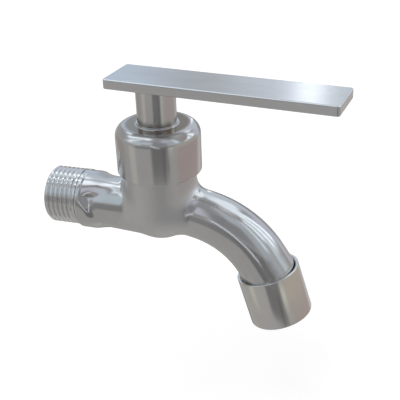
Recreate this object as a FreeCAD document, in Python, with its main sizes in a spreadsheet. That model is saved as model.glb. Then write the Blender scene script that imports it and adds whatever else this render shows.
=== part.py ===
"""Stainless mop sink tap: a single-water wall tap with a quarter-turn ceramic cartridge.

Frame, in millimetres: the origin is the centre of the inlet's end face, +X runs along the inlet
thread towards the spout and +Z is up. The valve axis is vertical. The outlet pieces lie along
the spout's last stretch, which leans forward.
"""
import FreeCAD, Part
import math
import os
import Sketcher

Vector = FreeCAD.Vector
Placement = FreeCAD.Placement
Rotation = FreeCAD.Rotation

doc = FreeCAD.newDocument("mop_sink_tap")
sheet = doc.addObject("Spreadsheet::Sheet", "Sizes")
sheet_rows = []
pieces = []

# Sizes that go together as numbers and as formulas of the sheet


class Size:
    """A length or angle that keeps its number and its formula in the sheet's names."""

    def __init__(self, number, formula):
        self.number = float(number)
        self.formula = formula

    def __add__(self, other):
        return combine(self, "+", other, self.number + number_of(other))

    def __radd__(self, other):
        return combine(other, "+", self, number_of(other) + self.number)

    def __sub__(self, other):
        return combine(self, "-", other, self.number - number_of(other))

    def __rsub__(self, other):
        return combine(other, "-", self, number_of(other) - self.number)

    def __mul__(self, other):
        return combine(self, "*", other, self.number * number_of(other))

    def __rmul__(self, other):
        return combine(other, "*", self, number_of(other) * self.number)

    def __truediv__(self, other):
        return combine(self, "/", other, self.number / number_of(other))

    def __neg__(self):
        return Size(-self.number, f"(0 - {self.formula})")


def number_of(value):
    return value.number if isinstance(value, Size) else float(value)


def formula_of(value):
    return value.formula if isinstance(value, Size) else repr(float(value))


def combine(left, sign, right, number):
    return Size(number, f"({formula_of(left)} {sign} {formula_of(right)})")


def cosine(angle):
    return Size(math.cos(math.radians(angle.number)), f"cos({angle.formula} * 1 deg)")


def sine(angle):
    return Size(math.sin(math.radians(angle.number)), f"sin({angle.formula} * 1 deg)")


def tangent(angle):
    return Size(math.tan(math.radians(angle.number)), f"tan({angle.formula} * 1 deg)")


def size(alias, number, note):
    """One driving dimension: a row of the sheet with its name, its value and what it is."""
    sheet_rows.append(alias)
    row = len(sheet_rows)
    sheet.set(f"A{row}", alias)
    sheet.set(f"B{row}", str(number))
    sheet.set(f"C{row}", note)
    sheet.setAlias(f"B{row}", alias)
    return Size(number, f"Sizes.{alias}")


# Inlet: a G1/2 pipe thread, the wrench collar behind it and the neck
thread_r = size("thread_r", 10.4775, "G1/2 major radius")
thread_pitch = size("thread_pitch", 1.814, "G1/2 pitch, 14 threads to the inch")
thread_depth = size("thread_depth", 1.1, "depth of the groove")
thread_floor = size("thread_floor", 0.25, "width of the groove's floor")
thread_flank = size("thread_flank", 27.5, "half angle of the groove, degrees")
thread_first = size("thread_first", 1.9, "middle of the first groove from the end face")
thread_chamfer = size("thread_chamfer", 1.0, "chamfer at the inlet's end")
thread_grooves = 6
inlet_bore_r = size("inlet_bore_r", 7.25, "waterway in the inlet")
collar_r = size("collar_r", 10.75, "wrench collar across its corners, as a radius")
collar_drop = size("collar_drop", 0.5, "casting sits lower than the turned thread")
collar_start = size("collar_start", 12.4, "where the turned thread ends and the collar starts")
collar_end = size("collar_end", 19.6, "right end of the collar's full radius")
collar_edge = size("collar_edge", 0.6, "chamfer towards the thread")
collar_taper = size("collar_taper", 2.4, "length of the taper down to the neck")
flat_r = size("flat_r", 9.3, "collar's flats from its axis")
flat_from = size("flat_from", 14.3, "where the ramp of a flat leaves the collar's outside")
flat_ramp = size("flat_ramp", 4.5, "length of that ramp")
flat_width = size("flat_width", 14.0, "width that a flat's cut covers")
flat_turn = size("flat_turn", 10.0, "upper flat leans forward by this, degrees")
neck_drop = size("neck_drop", 0.88, "neck's axis below the thread's axis")
neck_start_x = size("neck_start_x", 15.0, "neck's left end, inside the collar")
neck_start_r = size("neck_start_r", 9.0, "neck at that end")
neck_end_x = size("neck_end_x", 43.0, "neck's right end, inside the chamber")
neck_step = size("neck_step", 2.25, "neck's right end is slimmer than the chamber by this")

# Valve chamber and what it is screwed to
valve_x = size("valve_x", 43.0, "inlet end face to valve axis")
chamber_r = size("chamber_r", 13.0, "outside of the chamber and of its round bottom")
belly_z = size("belly_z", 1.3, "centre of the round bottom")
chamber_top_z = size("chamber_top_z", 16.2, "shoulder inside the bonnet")
collar_top_z = size("collar_top_z", 22.5, "top of the threaded collar inside the bonnet")
chamber_shoulder = size("chamber_shoulder", 1.0, "shoulder from the chamber to the bonnet's thread")
chamber_wall = size("chamber_wall", 1.8, "wall between that thread and the chamber's inside")
cast_blend = size("cast_blend", 4.0, "cast fillet where neck and spout meet the chamber")
seat_z = size("seat_z", 1.0, "seat that the cartridge presses on")
seat_hole_r = size("seat_hole_r", 4.6, "water comes up through the seat")
passage_r = size("passage_r", 3.7, "low passage from the inlet to the seat")
passage_z = size("passage_z", -4.6, "axis of the low passage")
passage_wall = size("passage_wall", 2.4, "wall between the inlet bore and the chamber")

# Spout
spout_cross_z = size("spout_cross_z", 1.5, "spout's root line where it crosses the valve axis")
spout_root = size("spout_root", 15.18, "straight root, from the valve axis to the bend")
spout_dip = size("spout_dip", 11.4, "root's slope below level, degrees")
spout_end_dip = size("spout_end_dip", 73.3, "slope at the outlet, degrees")
spout_bend_r = size("spout_bend_r", 33.85, "radius of the bend")
spout_step = size("spout_step", 4.15, "spout's root is slimmer than the chamber by this")
spout_end_r = size("spout_end_r", 9.65, "spout's outside at the outlet")
spout_tail = size("spout_tail", 2.9, "straight end past the bend")
spout_wall = size("spout_wall", 1.9, "wall of the spout")
outlet_thread_step = size("outlet_thread_step", 0.55, "sleeve's thread stands out from the spout")
outlet_thread_length = size("outlet_thread_length", 4.4, "length of that thread")

# Bonnet
bonnet_r = size("bonnet_r", 15.0, "outside of the bonnet")
bonnet_low_z = size("bonnet_low_z", 15.2, "bonnet's lower rim")
bonnet_top_z = size("bonnet_top_z", 32.5, "bonnet's top")
bonnet_shoulder = size("bonnet_shoulder", 4.0, "round shoulder")
bonnet_rim_edge = size("bonnet_rim_edge", 0.3, "chamfer of the lower rim")
bonnet_neck_r = size("bonnet_neck_r", 7.25, "short neck on top")
bonnet_neck_z = size("bonnet_neck_z", 32.9, "top of the short neck")
bonnet_neck_blend = size("bonnet_neck_blend", 0.3, "hollow fillet at the neck")
bonnet_roof = size("bonnet_roof", 2.1, "thickness of the bonnet's top")
bonnet_wall = size("bonnet_wall", 2.1, "wall round the cartridge's flange")
bonnet_fit = size("bonnet_fit", 0.05, "play of the screwed fits")
bush_wall = size("bush_wall", 0.9, "wall of the guide bush")

# Cartridge
cartridge_step = size("cartridge_step", 0.2, "cartridge's thread is smaller than the chamber's bore")
cartridge_thread_z = size("cartridge_thread_z", 12.8, "lower end of that thread")
barrel_gap = size("barrel_gap", 1.3, "water's way round the cartridge's barrel")
barrel_z = size("barrel_z", 2.3, "lower end of the barrel")
barrel_wall = size("barrel_wall", 1.1, "wall of the barrel round the discs")
disc_play = size("disc_play", 0.4, "moving disc's play in the barrel")
disc_height = size("disc_height", 2.6, "height of each ceramic disc")
seal_height = size("seal_height", 2.2, "rubber seat seal, seated")
seal_wall = size("seal_wall", 1.6, "radial width of the seat seal")
port_in_r = size("port_in_r", 2.0, "inner radius of the discs' ports")
port_edge = size("port_edge", 2.15, "from the fixed disc's ports to its rim")
port_angle = size("port_angle", 76.0, "angle of a port, degrees")
key_length = size("key_length", 11.8, "length of the spindle's driving key")
key_width = size("key_width", 2.6, "spindle's driving key")
key_height = size("key_height", 1.2, "height of that key")
drive_height = size("drive_height", 2.8, "height of the spindle's driving flange")
window_width = size("window_width", 9.0, "width of the barrel's outlet windows")
window_height = size("window_height", 4.2, "height of the barrel's outlet windows")
tab_width = size("tab_width", 2.0, "tabs that hold the fixed disc")
flange_height = size("flange_height", 3.4, "cartridge's hexagon flange")
flange_room = size("flange_room", 1.3, "from that flange's corners to the bonnet")
gasket_height = size("gasket_height", 1.0, "gasket under the flange")
gasket_wall = size("gasket_wall", 1.5, "gasket's reach past the cartridge's thread")
cartridge_top_z = size("cartridge_top_z", 28.7, "top of the cartridge's neck")
cartridge_neck_r = size("cartridge_neck_r", 6.6, "cartridge's neck")
washer_height = size("washer_height", 0.8, "slip washer over the driving flange")

# Spindle, its seals and its clip
spindle_r = size("spindle_r", 4.75, "spindle in its bore")
spindle_fit = size("spindle_fit", 0.05, "radial play of the spindle")
slide_gap = size("slide_gap", 0.3, "play beside pieces that turn")
ring_section_r = size("ring_section_r", 0.9, "O-ring's section")
ring_low_z = size("ring_low_z", 16.5, "lower O-ring")
ring_step = size("ring_step", 4.0, "from one O-ring to the next")
clip_z = size("clip_z", 29.0, "underside of the circlip")
clip_height = size("clip_height", 0.8, "circlip's thickness")
clip_groove = size("clip_groove", 0.55, "depth of the circlip's groove")
clip_r = size("clip_r", 6.1, "outside of the circlip")
clip_opening = size("clip_opening", 3.2, "opening of the circlip")
spline_r = size("spline_r", 4.0, "spindle's splines over their tips")
spline_depth = size("spline_depth", 0.4, "depth of the splines")
spline_z = size("spline_z", 33.2, "where the splines begin")
spindle_top_z = size("spindle_top_z", 42.2, "top of the spindle")
spline_count = 20

# Handle
handle_turn = size("handle_turn", -6.0, "how the shut lever stands, from the spout's direction")
post_r = size("post_r", 6.9, "handle post")
post_low_z = size("post_low_z", 33.2, "post's lower rim")
post_edge = size("post_edge", 0.12, "chamfer of the post's lower rim")
post_bore_top = size("post_bore_top", 43.0, "top of the splined hole")
lever_low_z = size("lever_low_z", 45.9, "underside of the lever")
lever_thick = size("lever_thick", 3.5, "thickness of the lever")
lever_width = size("lever_width", 17.8, "width of the lever")
lever_front = size("lever_front", 65.5, "lever's reach in front of the valve axis")
lever_back = size("lever_back", 15.3, "lever's reach behind the valve axis")
lever_corner = size("lever_corner", 1.0, "radius of the lever's upright corners")
lever_edge = size("lever_edge", 0.45, "radius of the lever's long edges")
grub_r = size("grub_r", 2.0, "M4 grub screw in the post")
grub_z = size("grub_z", 38.2, "height of the grub screw")
grub_length = size("grub_length", 2.6, "length of the grub screw")
grub_socket_r = size("grub_socket_r", 1.15, "grub screw's hexagon socket, across corners")
grub_socket_depth = size("grub_socket_depth", 1.4, "depth of that socket")

# Outlet, measured along the sleeve from its upper rim
sleeve_r = size("sleeve_r", 11.5, "outside of the sleeve")
sleeve_wall = size("sleeve_wall", 0.9, "wall of the sleeve")
sleeve_length = size("sleeve_length", 18.45, "length of the sleeve")
sleeve_cover = size("sleeve_cover", 3.4, "sleeve's rim to the end of the spout's bend")
sleeve_edge = size("sleeve_edge", 0.35, "round lower edge of the sleeve")
sleeve_lip = size("sleeve_lip", 1.4, "inward lip at the lower end")
sleeve_lip_height = size("sleeve_lip_height", 1.0, "height of the lip")
outlet_washer_height = size("outlet_washer_height", 1.8, "rubber washer under the spout's end")
outlet_washer_wall = size("outlet_washer_wall", 2.4, "radial width of that washer")
aerator_wall = size("aerator_wall", 1.1, "wall of the aerator's housing")
aerator_fit = size("aerator_fit", 0.15, "play round the housing")
aerator_floor = size("aerator_floor", 1.2, "honeycomb outlet grid")
grid_bar = size("grid_bar", 0.55, "bars of the outlet grid")
grid_step = size("grid_step", 2.1, "bar to bar")
insert_height = size("insert_height", 3.2, "flow insert")
insert_hole_r = size("insert_hole_r", 0.6, "holes of the flow insert")
insert_ring_r = size("insert_ring_r", 6.4, "circle that those holes lie on")
insert_holes = 12
screen_height = size("screen_height", 0.5, "filter screen")
screen_hole_r = size("screen_hole_r", 0.55, "holes of the filter screen")
screen_step = size("screen_step", 1.8, "from one ring of holes to the next")
screen_rings = 4

# How far a cutting tool runs past what it cuts
tool_over = size("tool_over", 1.0, "cutting tools run past by this much")

doc.recompute()


# Small tools


def bind(thing, prop, value):
    """Give a property its number now and its formula for good."""
    if isinstance(value, Size):
        thing.setExpression(prop, value.formula)


def place(thing, x=0.0, y=0.0, z=0.0, axis=None, angle=0.0):
    """Put an object at a point, turned about an axis; both stay tied to the sheet."""
    direction = Vector(*(axis or (0, 0, 1)))
    turn = Rotation(direction, number_of(angle))
    thing.Placement = Placement(Vector(number_of(x), number_of(y), number_of(z)), turn)
    bind(thing, "Placement.Base.x", x)
    bind(thing, "Placement.Base.y", y)
    bind(thing, "Placement.Base.z", z)
    bind(thing, "Placement.Rotation.Angle", angle)


def keep(thing, label):
    """A finished sub-part: its label names its file."""
    thing.Label = label
    pieces.append(thing)
    return thing


def plane(body, role):
    """One of a body's own origin planes or axes."""
    return next(f for f in body.Origin.OriginFeatures if f.Role == role)


def new_body(name):
    return doc.addObject("PartDesign::Body", name)


def new_sketch(body, role, name):
    sketch = body.newObject("Sketcher::SketchObject", name)
    sketch.AttachmentSupport = [(plane(body, role), "")]
    sketch.MapMode = "FlatFace"
    return sketch


def pin_point(sketch, edge, end, x, y):
    """Hold one end of a line at a place given by two sizes."""
    from_origin = (("DistanceX", x), ("DistanceY", y))
    for kind, value in from_origin:
        row = sketch.addConstraint(Sketcher.Constraint(kind, -1, 1, edge, end, number_of(value)))
        bind(sketch, f"Constraints[{row}]", value)


def outline(sketch, points):
    """A closed outline of straight lines whose corners are all tied to the sheet."""
    first = sketch.GeometryCount
    ends = points[1:] + points[:1]
    for (x0, y0), (x1, y1) in zip(points, ends):
        start = Vector(number_of(x0), number_of(y0), 0)
        end = Vector(number_of(x1), number_of(y1), 0)
        sketch.addGeometry(Part.LineSegment(start, end), False)
    count = len(points)
    for i in range(count):
        joined = Sketcher.Constraint("Coincident", first + i, 2, first + (i + 1) % count, 1)
        sketch.addConstraint(joined)
    for i, (x, y) in enumerate(points):
        pin_point(sketch, first + i, 1, x, y)


def turned(name, points):
    """A turned piece: an outline of (radius, height) corners revolved about its own Z axis."""
    body = new_body(name)
    sketch = new_sketch(body, "XZ_Plane", name + "_outline")
    outline(sketch, points)
    turn = body.newObject("PartDesign::Revolution", name + "_turn")
    turn.Profile = sketch
    turn.ReferenceAxis = (plane(body, "Z_Axis"), [""])
    turn.Angle = 360.0
    body.Tip = turn
    return body


def ring_outline(inner, outer, low, high):
    return [(inner, low), (outer, low), (outer, high), (inner, high)]


def cylinder(name, radius, height):
    rod = doc.addObject("Part::Cylinder", name)
    rod.Radius = number_of(radius)
    rod.Height = number_of(height)
    bind(rod, "Radius", radius)
    bind(rod, "Height", height)
    return rod


def box(name, length, width, height):
    block = doc.addObject("Part::Box", name)
    for prop, value in (("Length", length), ("Width", width), ("Height", height)):
        setattr(block, prop, number_of(value))
        bind(block, prop, value)
    return block


def fuse(name, things):
    joined = doc.addObject("Part::MultiFuse", name)
    joined.Shapes = things
    return joined


def cut(name, base, tools):
    """The base less all the tools."""
    tool = tools[0] if len(tools) == 1 else fuse(name + "_tools", tools)
    result = doc.addObject("Part::Cut", name)
    result.Base = base
    result.Tool = tool
    return result


def common(name, one, other):
    result = doc.addObject("Part::MultiCommon", name)
    result.Shapes = [one, other]
    return result


def fillet(name, base, radius, wanted):
    """Round the edges that a test picks, with a radius from the sheet."""
    doc.recompute()
    result = doc.addObject("Part::Fillet", name)
    result.Base = base
    edges = base.Shape.Edges
    picked = [i + 1 for i, edge in enumerate(edges) if wanted(edge)]
    result.Edges = [(i, number_of(radius), number_of(radius)) for i in picked]
    return result


def edge_points(edge, count=7):
    first, last = edge.ParameterRange
    return [edge.valueAt(first + (last - first) * i / (count - 1)) for i in range(count)]


def on_chamber(point):
    """Is this point on the outside of the chamber or of its round bottom?"""
    reach = math.hypot(point.x - valve_x.number, point.y)
    if point.z < belly_z.number:
        reach = math.hypot(reach, point.z - belly_z.number)
    return abs(reach - chamber_r.number) < 0.01


def is_root_edge(edge):
    """Where the neck or the spout comes out of the chamber, and not the chamber's own seams."""
    points = edge_points(edge)
    heights = [p.z for p in points]
    off_seam = max(abs(p.x - valve_x.number) for p in points) > 0.01
    return off_seam and max(heights) - min(heights) > 0.5 and all(map(on_chamber, points))


def round_edges(body, name, radius, wanted):
    """A fillet inside a body on the edges that a test picks."""
    doc.recompute()
    base = body.Tip
    names = [f"Edge{i + 1}" for i, edge in enumerate(base.Shape.Edges) if wanted(edge)]
    result = body.newObject("PartDesign::Fillet", name)
    result.Base = (base, names)
    result.Radius = number_of(radius)
    bind(result, "Radius", radius)
    body.Tip = result


def circle_at(radius, height):
    """A test for a turned piece's edge of this radius at this height."""

    def wanted(edge):
        curve = edge.Curve
        if not isinstance(curve, Part.Circle):
            return False
        right_size = abs(curve.Radius - number_of(radius)) < 1e-4
        return right_size and abs(curve.Center.z - number_of(height)) < 1e-4

    return wanted


def is_upright(edge):
    first, last = edge.Vertexes[0].Point, edge.Vertexes[-1].Point
    return abs(first.z - last.z) > 1e-4 and math.hypot(first.x - last.x, first.y - last.y) < 1e-4


def is_level(edge):
    heights = [p.z for p in edge_points(edge)]
    return max(heights) - min(heights) < 1e-4


# Places that several pieces share

ACROSS = (0, 1, 0)
bend_start_x = valve_x + spout_root * cosine(spout_dip)
bend_start_z = spout_cross_z - spout_root * sine(spout_dip)
bend_end_x = bend_start_x + spout_bend_r * (sine(spout_end_dip) - sine(spout_dip))
bend_end_z = bend_start_z - spout_bend_r * (cosine(spout_dip) - cosine(spout_end_dip))
spout_end_x = bend_end_x + spout_tail * cosine(spout_end_dip)
spout_end_z = bend_end_z - spout_tail * sine(spout_end_dip)
rim_x = bend_end_x - sleeve_cover * cosine(spout_end_dip)
rim_z = bend_end_z + sleeve_cover * sine(spout_end_dip)
outlet_turn = 90 + spout_end_dip
spout_end = sleeve_cover + spout_tail

bonnet_thread_r = chamber_r - chamber_shoulder
chamber_bore_r = bonnet_thread_r - chamber_wall
cartridge_thread_r = chamber_bore_r - cartridge_step
barrel_r = chamber_bore_r - barrel_gap
barrel_bore_r = barrel_r - barrel_wall
disc_r = barrel_bore_r - disc_play
fixed_disc_r = barrel_bore_r - bonnet_fit
port_out_r = fixed_disc_r - port_edge
neck_end_r = chamber_r - neck_step
spout_root_r = chamber_r - spout_step
outlet_thread_r = spout_end_r + outlet_thread_step
bonnet_cavity_r = bonnet_r - bonnet_wall
flange_corner_r = bonnet_cavity_r - flange_room

disc_low = seat_z + seal_height
disc_mid = disc_low + disc_height
disc_top = disc_mid + disc_height
drive_top = disc_top + drive_height
washer_top = drive_top + washer_height
flange_low = collar_top_z + gasket_height
bore_r = spindle_r + spindle_fit


def on_valve(thing):
    """Stand a fixed piece on the valve axis."""
    place(thing, x=valve_x)
    return thing


def on_handle(thing):
    """Stand a turning piece on the valve axis, turned as the shut lever is."""
    place(thing, x=valve_x, angle=handle_turn)
    return thing


def on_outlet(thing):
    """Put a piece on the sleeve's axis, its Z running down the outlet from the sleeve's rim."""
    place(thing, x=rim_x, z=rim_z, axis=ACROSS, angle=outlet_turn)
    return thing


# Cast body


def thread_outline():
    """The inlet's half section: chamfered end and one ring groove for each turn of the thread."""
    root_r = thread_r - thread_depth
    floor_half = thread_floor / 2
    top_half = floor_half + thread_depth * tangent(thread_flank)
    points = [(0, 0), (thread_r - thread_chamfer, 0), (thread_r, thread_chamfer)]
    for i in range(thread_grooves):
        middle = thread_first + thread_pitch * i
        points += [
            (thread_r, middle - top_half),
            (root_r, middle - floor_half),
            (root_r, middle + floor_half),
            (thread_r, middle + top_half),
        ]
    return points + [(thread_r, collar_start), (0, collar_start)]


def wrench_flat(index):
    """The cut that leaves one of the collar's flats, with the ramp at its left end."""
    section = doc.addObject("Sketcher::SketchObject", f"flat_section_{index}")
    place(section, axis=(1, 0, 0), angle=90.0)
    right = collar_end + collar_taper + tool_over
    top = collar_r + tool_over
    outline(
        section,
        [
            (flat_from, collar_r),
            (flat_from + flat_ramp, flat_r),
            (right, flat_r),
            (right, top),
            (flat_from, top),
        ],
    )
    tool = doc.addObject("Part::Extrusion", f"wrench_flat_{index}")
    tool.Base = section
    tool.DirMode = "Custom"
    tool.Dir = Vector(*ACROSS)
    tool.Solid = True
    tool.Symmetric = True
    tool.LengthFwd = flat_width.number
    bind(tool, "LengthFwd", flat_width)
    place(tool, z=-collar_drop, axis=(1, 0, 0), angle=flat_turn + 60.0 * index)
    return tool


def inlet_end():
    """The thread and the wrench collar, whose six flats are a hexagon."""
    blank = turned("inlet_blank", thread_outline())
    place(blank, axis=ACROSS, angle=90.0)
    collar = turned(
        "wrench_collar",
        [
            (0, collar_start),
            (collar_r - collar_edge, collar_start),
            (collar_r, collar_start + collar_edge),
            (collar_r, collar_end),
            (neck_start_r, collar_end + collar_taper),
            (0, collar_end + collar_taper),
        ],
    )
    place(collar, z=-collar_drop, axis=ACROSS, angle=90.0)
    joined = fuse("inlet_blanks", [blank, collar])
    return cut("inlet_end", joined, [wrench_flat(i) for i in range(6)])


def spout_path(name):
    """The spout's centre line: a straight root, one bend and a short straight end."""
    path = doc.addObject("Sketcher::SketchObject", name)
    place(path, axis=(1, 0, 0), angle=90.0)
    corners = [
        (valve_x, spout_cross_z),
        (bend_start_x, bend_start_z),
        (bend_end_x, bend_end_z),
        (spout_end_x, spout_end_z),
    ]
    spots = [Vector(number_of(x), number_of(z), 0) for x, z in corners]
    lean = spout_bend_r.number
    start_angle = math.radians(90 - spout_end_dip.number)
    end_angle = math.radians(90 - spout_dip.number)
    centre = spots[1] - Vector(math.cos(end_angle), math.sin(end_angle), 0) * lean
    bend = Part.ArcOfCircle(Part.Circle(centre, Vector(0, 0, 1), lean), start_angle, end_angle)
    path.addGeometry(Part.LineSegment(spots[0], spots[1]), False)
    path.addGeometry(bend, False)
    path.addGeometry(Part.LineSegment(spots[2], spots[3]), False)
    path.addConstraint(Sketcher.Constraint("Coincident", 0, 2, 1, 2))
    path.addConstraint(Sketcher.Constraint("Coincident", 1, 1, 2, 1))
    row = path.addConstraint(Sketcher.Constraint("Radius", 1, lean))
    bind(path, f"Constraints[{row}]", spout_bend_r)
    for edge, end, corner in ((0, 1, 0), (0, 2, 1), (2, 1, 2), (2, 2, 3)):
        pin_point(path, edge, end, *corners[corner])
    return path


def spout_tube(name, root_r, end_r):
    """A solid along the spout's centre line whose round section grows evenly to the outlet."""
    ends = []
    for part, radius, x, z, dip in (
        ("root", root_r, valve_x, spout_cross_z, spout_dip),
        ("end", end_r, spout_end_x, spout_end_z, spout_end_dip),
    ):
        ring = doc.addObject("Part::Circle", f"{name}_{part}")
        ring.Radius = number_of(radius)
        bind(ring, "Radius", radius)
        place(ring, x=x, z=z, axis=ACROSS, angle=90 + dip)
        ends.append(ring)
    tube = doc.addObject("Part::Sweep", name)
    tube.Sections = ends
    tube.Spine = (spout_path(name + "_path"), [])
    tube.Solid = True
    tube.Frenet = False
    return tube


def outside_of_body():
    """Everything that the mould makes, as one solid, before it is bored."""
    neck_length = neck_end_x - neck_start_x
    neck = doc.addObject("Part::Cone", "neck")
    for prop, value in (
        ("Radius1", neck_start_r),
        ("Radius2", neck_end_r),
        ("Height", neck_length),
    ):
        setattr(neck, prop, number_of(value))
        bind(neck, prop, value)
    place(neck, x=neck_start_x, z=-neck_drop, axis=ACROSS, angle=90.0)
    wall = cylinder("chamber_wall", chamber_r, chamber_top_z - belly_z)
    place(wall, x=valve_x, z=belly_z, angle=90.0)
    belly = doc.addObject("Part::Sphere", "chamber_belly")
    belly.Radius = chamber_r.number
    bind(belly, "Radius", chamber_r)
    belly.Angle2 = 0.0
    place(belly, x=valve_x, z=belly_z, angle=90.0)
    tube = spout_tube("spout", spout_root_r, spout_end_r)
    cast = fuse("casting", [neck, wall, belly, tube])
    cast.Refine = False
    blended = fillet("blended_casting", cast, cast_blend, is_root_edge)
    top = cylinder("bonnet_thread", bonnet_thread_r, collar_top_z - belly_z)
    place(top, x=valve_x, z=belly_z)
    spigot = cylinder("outlet_thread", outlet_thread_r, outlet_thread_length)
    place(
        spigot,
        x=spout_end_x - outlet_thread_length * cosine(spout_end_dip),
        z=spout_end_z + outlet_thread_length * sine(spout_end_dip),
        axis=ACROSS,
        angle=outlet_turn,
    )
    return fuse("body_outside", [blended, inlet_end(), top, spigot])


def waterways():
    """All that is bored out of the body: inlet, low passage, seat, chamber and spout."""
    bore_end = valve_x - chamber_bore_r - passage_wall
    inlet = cylinder("inlet_bore", inlet_bore_r, bore_end + tool_over)
    place(inlet, x=-tool_over, axis=ACROSS, angle=90.0)
    passage = cylinder("low_passage", passage_r, valve_x - bore_end + passage_r)
    place(passage, x=bore_end - passage_r, z=passage_z, axis=ACROSS, angle=90.0)
    sump = doc.addObject("Part::Sphere", "seat_sump")
    sump.Radius = seat_hole_r.number
    bind(sump, "Radius", seat_hole_r)
    place(sump, x=valve_x, z=passage_z)
    seat = cylinder("seat_hole", seat_hole_r, seat_z - passage_z + tool_over)
    place(seat, x=valve_x, z=passage_z)
    chamber = cylinder("chamber_bore", chamber_bore_r, cartridge_thread_z - seat_z)
    place(chamber, x=valve_x, z=seat_z)
    throat_height = collar_top_z - seat_z + tool_over
    throat = cylinder("cartridge_bore", cartridge_thread_r + bonnet_fit, throat_height)
    place(throat, x=valve_x, z=seat_z)
    water = spout_tube("spout_water", spout_root_r - spout_wall, spout_end_r - spout_wall)
    dam = cylinder("seat_dam", seat_hole_r + passage_wall, chamber_r * 2)
    place(dam, x=valve_x, z=seat_z - chamber_r * 2)
    spout_bore = cut("spout_bore", water, [dam])
    mouth = cylinder("spout_mouth", spout_end_r - spout_wall, tool_over * 2)
    place(mouth, x=spout_end_x, z=spout_end_z, axis=ACROSS, angle=outlet_turn)
    return [inlet, passage, sump, seat, chamber, throat, spout_bore, mouth]


def make_tap_body():
    keep(cut("tap_body", outside_of_body(), waterways()), "tap_body")


# Bonnet and its bush


def make_bonnet():
    roof_z = bonnet_top_z - bonnet_roof
    inner_r = bonnet_thread_r + bonnet_fit
    lap_z = chamber_top_z + bonnet_fit * 2
    bush_r = spindle_r + spindle_fit + bush_wall
    bonnet = turned(
        "bonnet",
        [
            (chamber_r + bonnet_fit * 2, bonnet_low_z),
            (bonnet_r - bonnet_rim_edge, bonnet_low_z),
            (bonnet_r, bonnet_low_z + bonnet_rim_edge),
            (bonnet_r, bonnet_top_z),
            (bonnet_neck_r, bonnet_top_z),
            (bonnet_neck_r, bonnet_neck_z),
            (bush_r, bonnet_neck_z),
            (bush_r, roof_z),
            (bonnet_cavity_r, roof_z),
            (bonnet_cavity_r, collar_top_z),
            (inner_r, collar_top_z),
            (inner_r, lap_z),
            (chamber_r + bonnet_fit * 2, lap_z),
        ],
    )
    round_edges(bonnet, "bonnet_shoulder_round", bonnet_shoulder, circle_at(bonnet_r, bonnet_top_z))
    round_edges(
        bonnet, "bonnet_neck_round", bonnet_neck_blend, circle_at(bonnet_neck_r, bonnet_top_z)
    )
    keep(on_valve(bonnet), "bonnet")
    bush = turned("guide_bush", ring_outline(bore_r, bush_r - bonnet_fit / 2, roof_z, bonnet_neck_z))
    keep(on_valve(bush), "guide_bush")


# Cartridge


def port(name, inner, outer, angle, middle, low, height):
    """A sector-shaped opening round the valve axis."""
    wedge = cylinder(name + "_wedge", outer, height)
    wedge.Angle = angle.number
    bind(wedge, "Angle", angle)
    place(wedge, z=low, angle=middle - angle / 2)
    core = cylinder(name + "_core", inner, height)
    place(core, z=low)
    return cut(name, wedge, [core])


def make_cartridge_body():
    blank = turned(
        "cartridge_blank",
        [
            (0, barrel_z),
            (barrel_r, barrel_z),
            (barrel_r, cartridge_thread_z),
            (cartridge_thread_r, cartridge_thread_z),
            (cartridge_thread_r, flange_low),
            (cartridge_neck_r, flange_low),
            (cartridge_neck_r, cartridge_top_z),
            (0, cartridge_top_z),
        ],
    )
    flange = doc.addObject("Part::Prism", "cartridge_flange")
    flange.Polygon = 6
    flange.Circumradius = number_of(flange_corner_r)
    flange.Height = flange_height.number
    bind(flange, "Circumradius", flange_corner_r)
    bind(flange, "Height", flange_height)
    place(flange, z=flange_low)
    bore = turned(
        "cartridge_bore_tool",
        [
            (0, barrel_z - tool_over),
            (barrel_bore_r, barrel_z - tool_over),
            (barrel_bore_r, washer_top),
            (bore_r, washer_top),
            (bore_r, cartridge_top_z + tool_over),
            (0, cartridge_top_z + tool_over),
        ],
    )
    window = box("barrel_windows", barrel_r * 4, window_width, window_height)
    place(window, x=-barrel_r * 2, y=-window_width / 2, z=disc_mid + slide_gap)
    slot_height = disc_mid - barrel_z + tool_over
    slots = box("tab_slots", tab_width + bonnet_fit * 2, barrel_r * 4, slot_height)
    place(slots, x=-tab_width / 2 - bonnet_fit, y=-barrel_r * 2, z=barrel_z - tool_over)
    solid = fuse("cartridge_solid", [blank, flange])
    keep(on_valve(cut("cartridge_body", solid, [bore, window, slots])), "cartridge_body")
    gasket = turned(
        "cartridge_gasket",
        ring_outline(
            cartridge_thread_r + bonnet_fit * 2,
            cartridge_thread_r + gasket_wall,
            collar_top_z,
            flange_low,
        ),
    )
    keep(on_valve(gasket), "cartridge_gasket")
    seal = turned("seat_seal", ring_outline(disc_r - seal_wall, disc_r, seat_z, disc_low))
    keep(on_valve(seal), "seat_seal")


def make_discs():
    """Two lapped ceramic discs: ports of the fixed one, cut-outs of the moving one."""
    fixed = cylinder("fixed_disc_blank", fixed_disc_r, disc_height)
    place(fixed, z=disc_low)
    tabs = box("fixed_disc_tabs", tab_width, barrel_r * 2, disc_height)
    place(tabs, x=-tab_width / 2, y=-barrel_r, z=disc_low)
    ports = [
        port(f"fixed_port_{i}", port_in_r, port_out_r, port_angle, 180.0 * i, disc_low, disc_height)
        for i in range(2)
    ]
    keep(on_valve(cut("fixed_disc", fuse("fixed_disc_solid", [fixed, tabs]), ports)), "fixed_disc")
    moving = cylinder("moving_disc_blank", disc_r, disc_height)
    place(moving, z=disc_mid)
    notches = [
        port(
            f"moving_notch_{i}",
            port_in_r,
            disc_r * 2,
            port_angle,
            90.0 + 180.0 * i,
            disc_mid,
            disc_height,
        )
        for i in range(2)
    ]
    groove = box("key_groove", disc_r * 4, key_width, key_height)
    place(groove, x=-disc_r * 2, y=-key_width / 2, z=disc_top - key_height)
    keep(on_handle(cut("moving_disc", moving, notches + [groove])), "moving_disc")


# Spindle


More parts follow.
